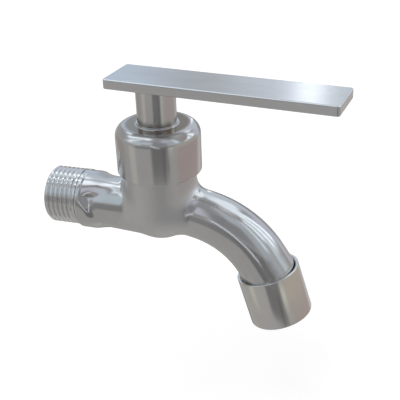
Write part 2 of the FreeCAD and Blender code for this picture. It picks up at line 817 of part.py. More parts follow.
def splined_bar(name, grow, low, high):
    """A bar with the standard splines, or the hole for it when it is grown by the fit."""
    body = new_body(name)
    sketch = new_sketch(body, "XY_Plane", name + "_section")
    tip = spline_r + grow
    root = spline_r - spline_depth + grow
    points = []
    for i in range(spline_count * 2):
        turn = math.pi * i / spline_count
        radius = root if i % 2 else tip
        points.append((radius * math.cos(turn), radius * math.sin(turn)))
    outline(sketch, points)
    pad = body.newObject("PartDesign::Pad", name + "_pad")
    pad.Profile = sketch
    pad.Length = number_of(high - low)
    bind(pad, "Length", high - low)
    body.Tip = pad
    place(body, z=low)
    return body


def make_spindle():
    side = [(0, disc_top), (disc_r, disc_top), (disc_r, drive_top), (spindle_r, drive_top)]
    ring_floor = spindle_r - ring_section_r * 2
    ring_room = ring_section_r + bonnet_fit * 2
    ring_heights = [ring_low_z + ring_step * i for i in range(2)]
    for height in ring_heights:
        side += [
            (spindle_r, height - ring_room),
            (ring_floor, height - ring_room),
            (ring_floor, height + ring_room),
            (spindle_r, height + ring_room),
        ]
    clip_floor = spindle_r - clip_groove
    side += [
        (spindle_r, clip_z),
        (clip_floor, clip_z),
        (clip_floor, clip_z + clip_height),
        (spindle_r, clip_z + clip_height),
        (spindle_r, bonnet_neck_z),
        (spline_r - spline_depth, bonnet_neck_z),
        (spline_r - spline_depth, spline_z),
        (0, spline_z),
    ]
    stem = turned("spindle_stem", side)
    key = box("spindle_key", key_length, key_width - bonnet_fit * 2, key_height)
    place(key, x=-key_length / 2, y=bonnet_fit - key_width / 2, z=disc_top - key_height)
    splines = splined_bar("spindle_splines", 0.0, spline_z, spindle_top_z)
    keep(on_handle(fuse("spindle", [stem, key, splines])), "spindle")
    rings = []
    for i, height in enumerate(ring_heights):
        ring = doc.addObject("Part::Torus", f"spindle_ring_{i}")
        ring.Radius1 = number_of(spindle_r - ring_section_r)
        ring.Radius2 = ring_section_r.number
        bind(ring, "Radius1", spindle_r - ring_section_r)
        bind(ring, "Radius2", ring_section_r)
        place(ring, z=height)
        rings.append(ring)
    keep(on_handle(fuse("spindle_rings", rings)), "spindle_rings")
    washer = turned("slip_washer", ring_outline(bore_r, disc_r, drive_top, washer_top))
    keep(on_handle(washer), "slip_washer")
    clip_ring = turned("circlip_ring", ring_outline(clip_floor, clip_r, clip_z, clip_z + clip_height))
    opening = box("circlip_opening", clip_r * 2, clip_opening, clip_height)
    place(opening, y=-clip_opening / 2, z=clip_z)
    keep(on_handle(cut("circlip", clip_ring, [opening])), "circlip")


# Handle


def make_lever():
    bar = new_body("lever")
    sketch = new_sketch(bar, "XY_Plane", "lever_outline")
    half = lever_width / 2
    outline(
        sketch,
        [(-lever_back, -half), (lever_front, -half), (lever_front, half), (-lever_back, half)],
    )
    pad = bar.newObject("PartDesign::Pad", "lever_bar")
    pad.Profile = sketch
    pad.Length = lever_thick.number
    bind(pad, "Length", lever_thick)
    bar.Tip = pad
    round_edges(bar, "lever_corners", lever_corner, is_upright)
    round_edges(bar, "lever_edges", lever_edge, is_level)
    place(bar, x=valve_x, z=lever_low_z, angle=handle_turn)
    keep(bar, "lever")


def make_post():
    blank = turned(
        "post_blank",
        [
            (0, post_low_z),
            (post_r - post_edge, post_low_z),
            (post_r, post_low_z + post_edge),
            (post_r, lever_low_z),
            (0, lever_low_z),
        ],
    )
    hole = splined_bar("post_spline_hole", spindle_fit, post_low_z, post_bore_top)
    grub_hole = cylinder("grub_hole", grub_r, post_r * 2)
    place(grub_hole, z=grub_z, axis=ACROSS, angle=-90.0)
    keep(on_handle(cut("handle_post", blank, [hole, grub_hole])), "handle_post")
    reach = post_r - slide_gap
    screw = cylinder("grub_blank", grub_r - bonnet_fit / 2, grub_length)
    place(screw, x=-reach + grub_length, z=grub_z, axis=ACROSS, angle=-90.0)
    socket = doc.addObject("Part::Prism", "grub_socket")
    socket.Polygon = 6
    socket.Circumradius = grub_socket_r.number
    socket.Height = grub_socket_depth.number
    bind(socket, "Circumradius", grub_socket_r)
    bind(socket, "Height", grub_socket_depth)
    place(socket, x=-reach + grub_socket_depth, z=grub_z, axis=ACROSS, angle=-90.0)
    keep(on_handle(cut("grub_screw", screw, [socket])), "grub_screw")


# Outlet


def make_sleeve():
    inner = sleeve_r - sleeve_wall
    screwed = outlet_thread_r + bonnet_fit
    thread_low = spout_end - outlet_thread_length
    lip_r = inner - sleeve_lip
    lip_top = sleeve_length - sleeve_lip_height
    sleeve = turned(
        "outlet_sleeve",
        [
            (inner, 0),
            (sleeve_r, 0),
            (sleeve_r, sleeve_length),
            (lip_r, sleeve_length),
            (lip_r, lip_top),
            (inner, lip_top),
            (inner, spout_end),
            (screwed, spout_end),
            (screwed, thread_low),
            (inner, thread_low),
        ],
    )
    round_edges(sleeve, "sleeve_foot", sleeve_edge, circle_at(sleeve_r, sleeve_length))
    keep(on_outlet(sleeve), "outlet_sleeve")


def make_aerator():
    washer_low = spout_end + outlet_washer_height
    washer = turned(
        "outlet_washer",
        ring_outline(
            outlet_thread_r - outlet_washer_wall, outlet_thread_r, spout_end, washer_low
        ),
    )
    keep(on_outlet(washer), "outlet_washer")
    outer = outlet_thread_r - aerator_fit
    inner = outer - aerator_wall
    foot = sleeve_length - sleeve_lip_height
    shell = turned("aerator_shell", ring_outline(inner, outer, washer_low, foot))
    bars = []
    count = int(inner.number / grid_step.number)
    for i in range(-count, count + 1):
        along = box(f"grid_bar_x{i + count}", inner * 2, grid_bar, aerator_floor)
        place(along, x=-inner, y=grid_step * i - grid_bar / 2, z=foot - aerator_floor)
        across = box(f"grid_bar_y{i + count}", grid_bar, inner * 2, aerator_floor)
        place(across, x=grid_step * i - grid_bar / 2, y=-inner, z=foot - aerator_floor)
        bars += [along, across]
    round_floor = cylinder("grid_round", (inner + outer) / 2, aerator_floor)
    place(round_floor, z=foot - aerator_floor)
    grid = common("outlet_grid", fuse("grid_bars", bars), round_floor)
    keep(on_outlet(fuse("aerator_housing", [shell, grid])), "aerator_housing")
    insert_r = inner - bonnet_fit / 2
    screen_low = washer_low + screen_height
    insert = cylinder("insert_blank", insert_r, insert_height)
    place(insert, z=screen_low)
    holes = []
    for i in range(insert_holes):
        turn = math.radians(360.0 * i / insert_holes)
        hole = cylinder(f"insert_hole_{i}", insert_hole_r, insert_height)
        away_x = insert_ring_r * math.cos(turn)
        away_y = insert_ring_r * math.sin(turn)
        place(hole, x=away_x, y=away_y, z=screen_low)
        holes.append(hole)
    keep(on_outlet(cut("flow_insert", insert, holes)), "flow_insert")
    screen = cylinder("screen_blank", insert_r, screen_height)
    place(screen, z=washer_low)
    holes = []
    for ring in range(1, screen_rings + 1):
        for i in range(6 * ring):
            turn = math.radians(60.0 * i / ring)
            ring_r = screen_step * ring
            hole = cylinder(f"screen_hole_{ring}_{i}", screen_hole_r, screen_height)
            place(hole, x=ring_r * math.cos(turn), y=ring_r * math.sin(turn), z=washer_low)
            holes.append(hole)
    keep(on_outlet(cut("filter_screen", screen, holes)), "filter_screen")


# Build, check and write


def check():
    """Stop if any object failed or any sub-part is not one sound shape."""
    doc.recompute()
    for thing in doc.Objects:
        if {"Invalid", "Error"} & set(thing.State):
            raise SystemExit(f"{thing.Label} failed: {thing.State}")
    for piece in pieces:
        shape = piece.Shape
        if shape.isNull() or not shape.isValid() or not shape.Solids:
            raise SystemExit(f"{piece.Label} has no sound shape")


def write():
    os.makedirs("parts", exist_ok=True)
    for piece in pieces:
        piece.Shape.exportStep(f"parts/{piece.Label}.step")
        solids = len(piece.Shape.Solids)
        print(f"{piece.Label}: {solids} solid(s), {piece.Shape.Volume:.1f} mm3")


make_tap_body()
make_bonnet()
make_cartridge_body()
make_discs()
make_spindle()
make_lever()
make_post()
make_sleeve()
make_aerator()
check()
write()
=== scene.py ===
"""Looks of the stainless mop sink tap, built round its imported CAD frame.

Lengths are in millimetres in the CAD's own frame, and become metres where a mesh, a place or a
material takes them.
"""
import math

import bpy
import numpy as np
from mathutils import Matrix, Vector


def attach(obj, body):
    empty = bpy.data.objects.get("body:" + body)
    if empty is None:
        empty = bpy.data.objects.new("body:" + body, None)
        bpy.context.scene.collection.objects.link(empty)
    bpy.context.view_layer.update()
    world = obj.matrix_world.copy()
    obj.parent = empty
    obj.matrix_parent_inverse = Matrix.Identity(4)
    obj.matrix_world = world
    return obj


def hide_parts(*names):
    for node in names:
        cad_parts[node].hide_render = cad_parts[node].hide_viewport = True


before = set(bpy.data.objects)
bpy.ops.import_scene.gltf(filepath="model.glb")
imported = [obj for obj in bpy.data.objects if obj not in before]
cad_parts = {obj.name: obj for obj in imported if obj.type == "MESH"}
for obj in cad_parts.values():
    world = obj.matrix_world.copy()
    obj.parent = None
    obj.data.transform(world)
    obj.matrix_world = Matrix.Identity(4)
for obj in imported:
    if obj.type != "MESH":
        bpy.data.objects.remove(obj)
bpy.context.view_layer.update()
MM = 0.001

# Inlet: thread, wrench collar and neck
THREAD_R = 10.4775
THREAD_PITCH = 1.814
THREAD_DEPTH = 0.75
THREAD_CHAMFER = 1.0
THREAD_FACE_EDGE = 0.1
THREAD_FIRST = 1.9
THREAD_LAST = 10.6
THREAD_RUN_OUT = 0.9
THREAD_CREST = 0.1
THREAD_FLANK = 0.6
THREAD_STEP = 0.08
THREAD_CLEARANCE = 0.05
INLET_BORE_R = 7.25
INLET_BORE_END = 30.4
INLET_BORE_CHAMFER = 0.35
COLLAR_START = 12.4
COLLAR_R = 10.75
COLLAR_Z = -0.5
COLLAR_EDGE = 0.6
COLLAR_EDGE_ROUND = 0.2
COLLAR_LAND = 2.0
COLLAR_LAND_BLEND = 0.4
COLLAR_REACH = 5.6
COLLAR_TAPER = (1.6, 5.5)
COLLAR_WALL_ROUND = 1.0
COLLAR_WALL_SCALE = 0.85
COLLAR_BLEND = 2.2
FLAT_FROM = 14.5
FLAT_TURN = math.radians(30.0)
FLAT_SOFTNESS = 0.02
FLAT_START = 0.14
NECK_Z = -0.88
NECK_START_X = 15.0
NECK_START_R = 9.0
NECK_END_R = 10.75

# Valve chamber
VALVE_X = 43.0
CHAMBER_R = 13.0
BELLY_Z = 1.3
CHAMBER_TOP_Z = 16.2
BONNET_THREAD_R = 12.0
BONNET_THREAD_TOP_Z = 22.5
PASSAGE_R = 3.7
PASSAGE_Z = -4.6
SEAT_HOLE_R = 4.6
SEAT_Z = 1.0
SEAT_OVERLAP = 1.0
SEAT_WALL = 2.4
CHAMBER_BORE_R = 10.2
CHAMBER_BORE_TOP_Z = 12.8
THROAT_R = 10.05
BORE_EDGE = 0.15

# Joins of neck and spout with the chamber: their widths, which shrink towards its bottom
NECK_BLEND = 2.8
SPOUT_BLEND = 4.3
BLEND_RISE = 6.0
BLEND_LEAST = 0.1

# Spout
SPOUT_CROSS_Z = 1.5
SPOUT_ROOT = 15.18
SPOUT_DIP = math.radians(11.4)
SPOUT_END_DIP = math.radians(73.3)
SPOUT_BEND_R = 33.85
SPOUT_TAIL = 2.9
SPOUT_ROOT_R = 8.85
SPOUT_END_R = 9.65
SPOUT_WALL = 1.9
SPOUT_OVAL = 0.074
SPOUT_OVAL_FROM = 0.2
SPOUT_OVAL_SPAN = 0.7
SPOUT_FLARE = 0.5
SPOUT_FLARE_LENGTH = 5.0
SPOUT_LENGTH = SPOUT_ROOT + SPOUT_BEND_R * (SPOUT_END_DIP - SPOUT_DIP) + SPOUT_TAIL
SPOUT_BEND_START_X = VALVE_X + SPOUT_ROOT * math.cos(SPOUT_DIP)
SPOUT_BEND_START_Z = SPOUT_CROSS_Z - SPOUT_ROOT * math.sin(SPOUT_DIP)
OUTLET_THREAD_R = 10.2
OUTLET_THREAD_LENGTH = 4.4

# Grid that the casting's surface is found on, and steps that settle its points there
CASTING_LOW = (COLLAR_START - 1.0, -14.0, -39.0)
CASTING_HIGH = (94.0, 14.0, 24.0)
CASTING_STEP = 0.45
SLOPE_STEP = 0.02
NORMAL_STEP = 0.05
SETTLE_LIMIT = 0.2

# Bonnet, from its axis and the inlet's height
BONNET_R = 15.0
BONNET_LOW_Z = 15.2
BONNET_TOP_Z = 32.5
BONNET_SHOULDER = 4.0
BONNET_RIM = 0.3
BONNET_SKIRT_GAP = 0.1
BONNET_SKIRT_CHAMFER = 0.2
BONNET_ROOF = 2.1
BONNET_POCKET_R = 12.9
BONNET_BORE_R = 5.75
BONNET_NECK_R = 7.3
BONNET_NECK_Z = 33.15
BONNET_NECK_EDGE = 0.1
BONNET_NECK_BLEND = 0.3

# Outlet sleeve
SLEEVE_R = 11.5
SLEEVE_WALL = 0.9
SLEEVE_LENGTH = 18.9
SLEEVE_COVER = 3.95
SLEEVE_LIP = 1.4
SLEEVE_LIP_HEIGHT = 1.0
SLEEVE_PINCH = 0.28
SLEEVE_PINCH_FROM = 0.3
SLEEVE_PINCH_TO = 0.5
SLEEVE_INNER_ROUND = 0.12
SLEEVE_RIM_ROUND = 0.25
SLEEVE_END_ROUND = 0.35

# Points round a turned piece, and the lever's heading at rest, off the spout's line
RING_STEPS = 192
HANDLE_TURN = math.radians(-6.0)

# Steel and brass tones; the painted shade of the bonnet's top and shoulder, SLEEVE and THREAD
# multiply the steel's
STEEL = (0.59, 0.59, 0.59)
STEEL_DARK = (0.565, 0.565, 0.565)
STEEL_LIGHT = (0.615, 0.615, 0.615)
STEEL_PALE = (0.615, 0.62, 0.63)
STEEL_BRIGHT = (0.64, 0.645, 0.655)
SATIN_TONE = (0.645, 0.64, 0.64)
# Painted light on the lever's underside and a painted highlight on its upper edges
PAINTED_UNDERSIDE_LIGHT = (0.93, 0.94, 0.95)
PAINTED_EDGE_HIGHLIGHT = (0.9, 0.92, 0.94)
# Painted shade on the bonnet's flat top and, less, on its round shoulder
PAINTED_TOP_SHADE = (0.48, 0.42, 0.345)
PAINTED_SHOULDER_SHADE = (0.92, 0.9, 0.9)
SLEEVE_TONE = (1.13, 1.12, 1.08)
THREAD_TONE = (1.15, 1.15, 1.15)
BRASS = (0.72, 0.58, 0.32)
BRASS_DARK = (0.62, 0.49, 0.26)
BLACK = (0.0, 0.0, 0.0)
WHITE = (1.0, 1.0, 1.0)

# Share of the bonnet's radius at which its top takes each tone of painted shade
PAINTED_TOP_SHADE_STEPS = (
    (0.50, WHITE),
    (0.53, PAINTED_TOP_SHADE),
    (0.70, PAINTED_TOP_SHADE),
    (0.79, PAINTED_SHOULDER_SHADE),
    (0.97, WHITE),
)

# The chamber's satin wall: from where to where it fades in, and how much wider it is low down
SATIN_ROUGHNESS = 0.34
SATIN_FADE = (15.0, 13.1)
SATIN_WIDER = 2.5
SATIN_WIDER_FADE = (4.0, -4.0)

# The lever's normal, up or down, where its underside gets painted light and its upper edges a
# painted highlight
PAINTED_UNDERSIDE_LIGHT_FADE = (-0.6, -0.9)
PAINTED_EDGE_HIGHLIGHT_STEPS = ((0.25, BLACK), (0.6, WHITE), (0.99, BLACK))

# Relief of the finishes, the span that noise fills, and the turn from along to across a ring
WAVE_DEPTH = 0.04
GRAIN_DEPTH = 0.002
RING_DEPTH = 0.0015
HAIR_DEPTH = 0.0022
NOISE_SPAN = (0.3, 0.7)
QUARTER_TURN = 0.25

# Studio, in metres
FLOOR_Z = -0.075
FLOOR_SIZE = 8.0
FLOOR_GLOW = 0.33
FLOOR_TONES = ((0.9, 0.9, 0.9), (0.92, 0.92, 0.92))
FLOOR_ROUGHNESS = 0.9
WORLD_LIGHT = 0.65
LAMP_POWER = 0.6
LAMP_SPREAD = math.radians(60)
LAMP_AIM = Vector((0.35, 0.25, -1.0))
DOME_RADIUS = 3.0
DOME_COLUMNS = 480
DOME_ROWS = 240
DOME_TOP = 89.9
ROOM_GLOW = (0.42, 0.43, 0.45)

# Cards on the dome: middle (azimuth, elevation), size, lean to the left, glow, soft edge.
# Angles are in degrees from the front, and a later card covers an earlier one.
CARDS = [
    # grey room all round, table and what stands low round it
    ((0, 0), (360, 64), 0, (0.47, 0.46, 0.45), 14),
    ((0, -60), (360, 90), 0, (0.46, 0.45, 0.44), 10),
    ((-105, -58), (64, 30), 0, (0.46, 0.45, 0.42), 8),
    ((0, -90), (360, 44), 0, (0.54, 0.54, 0.53), 10),
    ((112, -67), (76, 22), 0, (1.0, 1.03, 1.06), 8),
    ((-138, -20), (30, 44), 0, (0.58, 0.58, 0.60), 9),
    ((-103, -15), (46, 34), 0, (0.41, 0.375, 0.35), 8),
    ((-55, -26), (26, 42), 0, (0.60, 0.58, 0.53), 7),
    ((112, -28), (90, 26), 0, (0.48, 0.40, 0.385), 8),
    ((104, -8), (92, 22), 0, (0.54, 0.49, 0.43), 6),
    ((52, -14), (17, 16), 0, (0.70, 0.70, 0.62), 4),
    ((54, 6), (28, 20), 0, (0.32, 0.32, 0.325), 6),
    ((-158, -30), (44, 44), 0, (0.25, 0.24, 0.235), 8),
    ((160, -22), (30, 34), 0, (0.62, 0.59, 0.57), 8),
    # grey front, up to eye level and above
    ((-14, 0), (64, 32), 0, (0.29, 0.29, 0.295), 8),
    ((-8, 46), (52, 64), 0, (0.36, 0.355, 0.365), 9),
    ((-17, 42), (44, 38), 0, (0.68, 0.71, 0.79), 8),
    ((24, 32), (48, 44), 0, (0.34, 0.34, 0.36), 9),
    ((22, -7), (48, 38), 0, (0.23, 0.225, 0.23), 5),
    ((20, -26), (44, 26), 0, (0.21, 0.21, 0.215), 5),
    ((34, -27), (11, 22), 0, (0.165, 0.16, 0.16), 3),
    ((44, -29), (11, 12), 0, (0.22, 0.22, 0.22), 3),
    ((10.5, 8.5), (6, 38), 40.4, (1.4, 1.5, 1.6), 2.8),
    # upper left
    ((-55, 32), (60, 40), 0, (0.65, 0.74, 0.81), 7),
    ((-108, 58), (110, 44), 0, (0.76, 0.83, 0.90), 10),
    ((-62, 74), (70, 16), 0, (1.5, 1.6, 1.7), 6),
    ((-60, 55), (8, 30), 0, (1.7, 1.9, 2.0), 3.5),
    ((-98, 60), (12, 40), 0, (2.3, 2.5, 2.7), 4),
    ((-134, 50), (12, 34), 0, (1.7, 1.9, 2.0), 4),
    ((-150, 26), (26, 40), 0, (0.68, 0.79, 0.93), 7),
    # upper right
    ((66, 34), (50, 60), 0, (0.53, 0.57, 0.61), 9),
    ((116, 34), (56, 60), 0, (0.80, 0.88, 0.95), 9),
    ((73, 40), (13, 44), 0, (0.95, 1.05, 1.12), 4),
    ((93, 46), (8, 38), 0, (1.7, 1.85, 1.95), 2.6),
    ((113, 40), (8, 50), 0, (1.8, 1.95, 2.05), 2.6),
    ((130.5, 38), (9, 52), 0, (1.8, 1.95, 2.05), 2.6),
    ((25, 72), (70, 36), 0, (0.40, 0.41, 0.44), 10),
    ((-66, 33), (18, 24), 0, (1.3, 1.38, 1.46), 6),
    ((46, 60), (40, 40), 0, (0.62, 0.66, 0.73), 10),
    # behind
    ((176, 26), (52, 60), 0, (0.74, 0.81, 0.90), 12),
    ((149, 10), (26, 44), 0, (0.68, 0.69, 0.80), 7),
    ((168, 54), (62, 30), 0, (1.0, 1.06, 1.14), 8),
    ((157, 44), (22, 20), 0, (1.3, 1.38, 1.46), 6),
    ((180, -6), (38, 34), 0, (0.36, 0.36, 0.37), 7),
    ((142, 58), (70, 34), 0, (1.22, 1.33, 1.43), 9),
    ((-168.5, 20), (9.5, 34), 0, (0.77, 0.83, 0.92), 3.2),
    ((-171.7, 15), (3.2, 20), 0, (3.1, 3.3, 3.5), 1.6),
]

# Camera fitted to the photograph: what it looks at, from where and how much it is rolled
CAMERA_TARGET = Vector((57.54, 0.0, 4.06))
CAMERA_AZIMUTH = math.radians(18.18)
CAMERA_ELEVATION = math.radians(27.71)
CAMERA_ROLL = math.radians(-2.04)
CAMERA_DISTANCE = 271.8
CAMERA_LENS = 68.4
CAMERA_SENSOR = 36.0
CAMERA_CLIP = (0.01, 20.0)


def add_camera():
    """The photograph's camera, built from its own three directions."""
    level = math.cos(CAMERA_ELEVATION)
    back = Vector(
        (
            math.sin(CAMERA_AZIMUTH) * level,
            -math.cos(CAMERA_AZIMUTH) * level,
            math.sin(CAMERA_ELEVATION),
        )
    )
    right = (-back).cross(Vector((0, 0, 1))).normalized()
    up = right.cross(-back)
    across = right * math.cos(CAMERA_ROLL) + up * math.sin(CAMERA_ROLL)
    over = up * math.cos(CAMERA_ROLL) - right * math.sin(CAMERA_ROLL)
    turn = Matrix((across, over, back)).transposed().to_4x4()
    data = bpy.data.cameras.new("photo_camera")
    data.lens = CAMERA_LENS
    data.sensor_width = CAMERA_SENSOR
    data.clip_start, data.clip_end = CAMERA_CLIP
    camera = bpy.data.objects.new("photo_camera", data)
    camera.matrix_world = Matrix.Translation((CAMERA_TARGET + back * CAMERA_DISTANCE) * MM) @ turn
    bpy.context.scene.collection.objects.link(camera)
    bpy.context.scene.camera = camera


# Meshes


def mesh_piece(name, points, faces, place=None, normals=None, sharp=None):
    """A smooth-shaded mesh object from millimetre points, in the CAD's frame or at a place."""
    mesh = bpy.data.meshes.new(name)
    mesh.from_pydata((np.asarray(points) * MM).tolist(), [], [list(f) for f in faces])
    mesh.validate()
    mesh.shade_smooth()
    if sharp is not None:
        mesh.set_sharp_from_angle(angle=math.radians(sharp))
    if normals is not None:
        mesh.normals_split_custom_set_from_vertices(np.asarray(normals).tolist())
    piece = bpy.data.objects.new(name, mesh)
    bpy.context.scene.collection.objects.link(piece)
    if place is not None:
        piece.matrix_world = place
    return piece


def grid_faces(rows, columns, wrap_rows=True):
    """Quads of a grid that closes on itself along its columns, and its rows too if wanted."""
    faces = []
    last = rows if wrap_rows else rows - 1
    for i in range(last):
        here = i * columns
        there = (i + 1) % rows * columns
        for j in range(columns):
            m = (j + 1) % columns
            faces.append((here + j, here + m, there + m, there + j))
    return faces


def arc(centre, radius, start, end, steps):
    """Points of an arc in (radius, height), angles in degrees."""
    turn = np.radians(np.linspace(start, end, steps))
    return [(centre[0] + radius * math.cos(a), centre[1] + radius * math.sin(a)) for a in turn]


def lathe(name, outline, place, sharp=30.0):
    """A closed turned piece: its (radius, height) outline goes round its own Z axis."""
    around = np.linspace(0, 2 * math.pi, RING_STEPS, endpoint=False)
    points = []
    for radius, height in outline:
        level = np.full(RING_STEPS, height)
        points.append(np.stack([radius * np.cos(around), radius * np.sin(around), level], 1))
    faces = grid_faces(len(outline), RING_STEPS)
    return mesh_piece(name, np.concatenate(points), faces, place, sharp=sharp)


# The casting as a distance field


def axis_distance(one, other):
    return np.sqrt(one * one + other * other)


def soft_max(a, b, width):
    """The larger of two fields, with a round of that width where they cross."""
    mix = np.clip(0.5 + 0.5 * (a - b) / width, 0, 1)
    return b + (a - b) * mix + width * mix * (1 - mix)


def soft_min(a, b, width):
    return -soft_max(-a, -b, width)


def chamber_field(x, y, z):
    """The upright cylinder with its round bottom, without its top."""
    low = np.minimum(z - BELLY_Z, 0)
    return np.sqrt((x - VALVE_X) ** 2 + y * y + low * low) - CHAMBER_R


def neck_field(x, y, z):
    """The cone from the collar to the valve's axis."""
    slope = (NECK_END_R - NECK_START_R) / (VALVE_X - NECK_START_X)
    radius = NECK_START_R + slope * (x - NECK_START_X)
    away = (axis_distance(y, z - NECK_Z) - radius) / math.hypot(1, slope)
    return np.maximum(np.maximum(away, x - VALVE_X), NECK_START_X - x)


def collar_field(x, y, z):
    """The wrench collar: a short cylinder cut away from the front and the back into two lugs."""
    low = z - COLLAR_Z
    away = axis_distance(y, low)
    edge = (away - COLLAR_R + COLLAR_EDGE + (COLLAR_START - x)) / math.sqrt(2)
    field = soft_max(away - COLLAR_R, edge, COLLAR_EDGE_ROUND)
    land = np.maximum(axis_distance(y, z) - THREAD_R, x - COLLAR_START - COLLAR_LAND)
    field = soft_min(field, land, COLLAR_LAND_BLEND)
    turn = np.arctan2(low, -y) - FLAT_TURN
    lug = np.sqrt(np.sin(turn) ** 2 + FLAT_SOFTNESS) - FLAT_START
    ending = FLAT_FROM + COLLAR_REACH * lug
    steep, gentle = COLLAR_TAPER
    taper = steep + gentle * np.clip(np.sin(2 * turn), 0, 1)
    fall = COLLAR_R - NECK_START_R
    wall = ((away - COLLAR_R) * taper + (x - ending) * fall) / np.hypot(fall, taper)
    field = soft_max(field, wall * COLLAR_WALL_SCALE, COLLAR_WALL_ROUND)
    return np.maximum(field, COLLAR_START - x)


def along_spout(x, z):
    """How far along the spout's centre line a point lies, and how far outside it in its plane."""
    centre_x = SPOUT_BEND_START_X - SPOUT_BEND_R * math.sin(SPOUT_DIP)
    centre_z = SPOUT_BEND_START_Z - SPOUT_BEND_R * math.cos(SPOUT_DIP)
    dx, dz = x - centre_x, z - centre_z
    sweep = SPOUT_END_DIP - SPOUT_DIP

    def project(dip):
        forward = dx * math.cos(dip) - dz * math.sin(dip)
        outward = dx * math.sin(dip) + dz * math.cos(dip)
        return forward, outward

    first, first_out = project(SPOUT_DIP)
    last, last_out = project(SPOUT_END_DIP)
    turn = np.arctan2(first, first_out)
    bend = SPOUT_ROOT + SPOUT_BEND_R * sweep
    in_bend = (turn > 0) & (turn < sweep)
    in_tail = ~in_bend & (last > 0) & (last_out > 0)
    run = np.where(in_bend, SPOUT_ROOT + SPOUT_BEND_R * turn, SPOUT_ROOT + first)
    off = np.where(in_bend, np.sqrt(dx * dx + dz * dz), first_out) - SPOUT_BEND_R
    return np.where(in_tail, bend + last, run), np.where(in_tail, last_out - SPOUT_BEND_R, off)


def spout_field(x, y, z, wall=0.0):
    """The spout's outside, or its bore where a wall is given."""
    run, off = along_spout(x, z)
    radius = SPOUT_ROOT_R + (SPOUT_END_R - SPOUT_ROOT_R) * run / SPOUT_LENGTH - wall
    widening = np.clip(run / SPOUT_LENGTH - SPOUT_OVAL_FROM, 0, SPOUT_OVAL_SPAN)
    oval = 1 + SPOUT_OVAL * widening / SPOUT_OVAL_SPAN
    rim = SPOUT_LENGTH - SPOUT_TAIL - SLEEVE_COVER
    near_rim = np.clip(1 + (run - rim) / SPOUT_FLARE_LENGTH, 0, 1) ** 2
    radius = radius + SPOUT_FLARE * near_rim * np.clip(off / SPOUT_END_R, 0, 1)
    away = axis_distance(off, y / oval) - radius
    return np.maximum(np.maximum(away, -run), run - SPOUT_LENGTH)


def slope_of(field, x, y, z, step=SLOPE_STEP):
    """A field's direction of steepest rise, as a unit vector at each point."""
    rise = np.stack(
        [
            field(x + step, y, z) - field(x - step, y, z),
            field(x, y + step, z) - field(x, y - step, z),
            field(x, y, z + step) - field(x, y, z - step),
        ]
    )
    return rise / np.maximum(np.sqrt((rise * rise).sum(0)), 1e-9)


def inlet_field(x, y, z):
    """Neck and collar as one."""
    return soft_min(neck_field(x, y, z), collar_field(x, y, z), COLLAR_BLEND)


def outside_field(x, y, z):
    """Chamber, neck, collar and spout as one casting, with its bonnet and outlet threads."""
    share = np.clip((z + CHAMBER_R - BELLY_Z) / BLEND_RISE, BLEND_LEAST, 1)
    cast = soft_min(chamber_field(x, y, z), inlet_field(x, y, z), NECK_BLEND * share)
    cast = soft_min(cast, spout_field(x, y, z), SPOUT_BLEND * share)
    cast = np.maximum(cast, z - CHAMBER_TOP_Z)
    screwed = axis_distance(x - VALVE_X, y) - BONNET_THREAD_R
    top = np.maximum(np.maximum(screwed, z - BONNET_THREAD_TOP_Z), BELLY_Z - z)
    run, off = along_spout(x, z)
    thread = axis_distance(off, y) - OUTLET_THREAD_R
    thread = np.maximum(thread, run - SPOUT_LENGTH)
    thread = np.maximum(thread, SPOUT_LENGTH - OUTLET_THREAD_LENGTH - run)
    return np.minimum(np.minimum(cast, top), thread)


def water_field(x, y, z):
    """Inlet bore, low passage, seat, chamber and spout bore."""
    inlet = np.maximum(axis_distance(y, z) - INLET_BORE_R, x - INLET_BORE_END)
    passage = axis_distance(y, z - PASSAGE_Z) - PASSAGE_R
    passage = np.maximum(passage, np.maximum(INLET_BORE_END - PASSAGE_R - x, x - VALVE_X))
    upright = axis_distance(x - VALVE_X, y)
    low = np.minimum(z - PASSAGE_Z, 0)
    seat = np.maximum(axis_distance(upright, low) - SEAT_HOLE_R, z - SEAT_Z - SEAT_OVERLAP)
    chamber = np.maximum(upright - CHAMBER_BORE_R, np.maximum(SEAT_Z - z, z - CHAMBER_BORE_TOP_Z))
    throat = np.maximum(upright - THROAT_R, SEAT_Z - z)
    dam = np.maximum(upright - SEAT_HOLE_R - SEAT_WALL, z - SEAT_Z)
    spout = np.maximum(spout_field(x, y, z, SPOUT_WALL), -dam)
    field = inlet
    for bore in (passage, seat, chamber, throat, spout):
        field = np.minimum(field, bore)
    return field


def body_field(x, y, z):
    """The casting with its water way cut out."""
    return soft_max(outside_field(x, y, z), -water_field(x, y, z), BORE_EDGE)


